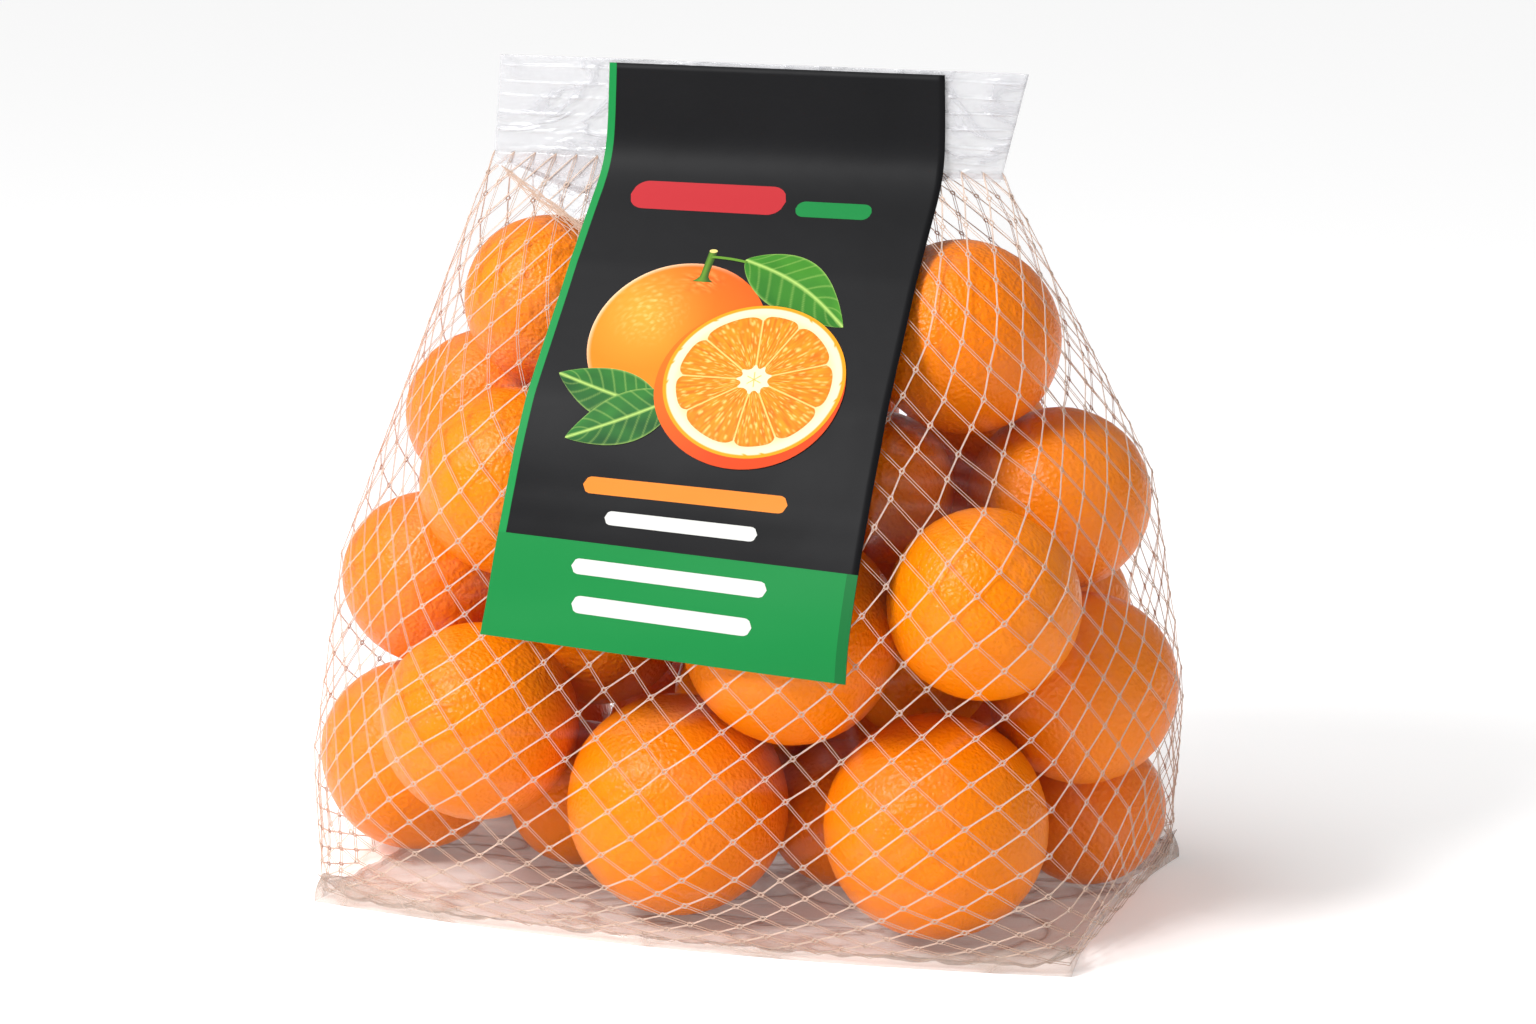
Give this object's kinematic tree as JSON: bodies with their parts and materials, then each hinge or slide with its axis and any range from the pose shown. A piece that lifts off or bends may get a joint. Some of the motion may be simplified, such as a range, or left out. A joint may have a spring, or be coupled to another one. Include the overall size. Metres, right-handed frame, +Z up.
{
  "type": "net of oranges",
  "caption": "Upright net bag of sweet oranges with a clear film header band, clear film base and a plain printed label folded down the front.",
  "frame": {"origin": "middle of the bag's underside, on the plane it stands on", "axes": "+Z up to the header band, -Y the front that carries the label, +X to the right seen from the front"},
  "size_m": [0.297, 0.1798, 0.2711],
  "materials": {
    "filled_net": "orange peel behind a pale pink-white filament net",
    "header_film": "clear crinkled film with weld lines",
    "label_panel": "soft-sheen printed film, near black with green bands",
    "base_film": "clear wrinkled film"
  },
  "bodies": {
    "root": {"filled_net": "filled_net", "header_film": "header_film", "label_panel": "label_panel", "base_film": "base_film"}
  },
  "joints": []
}
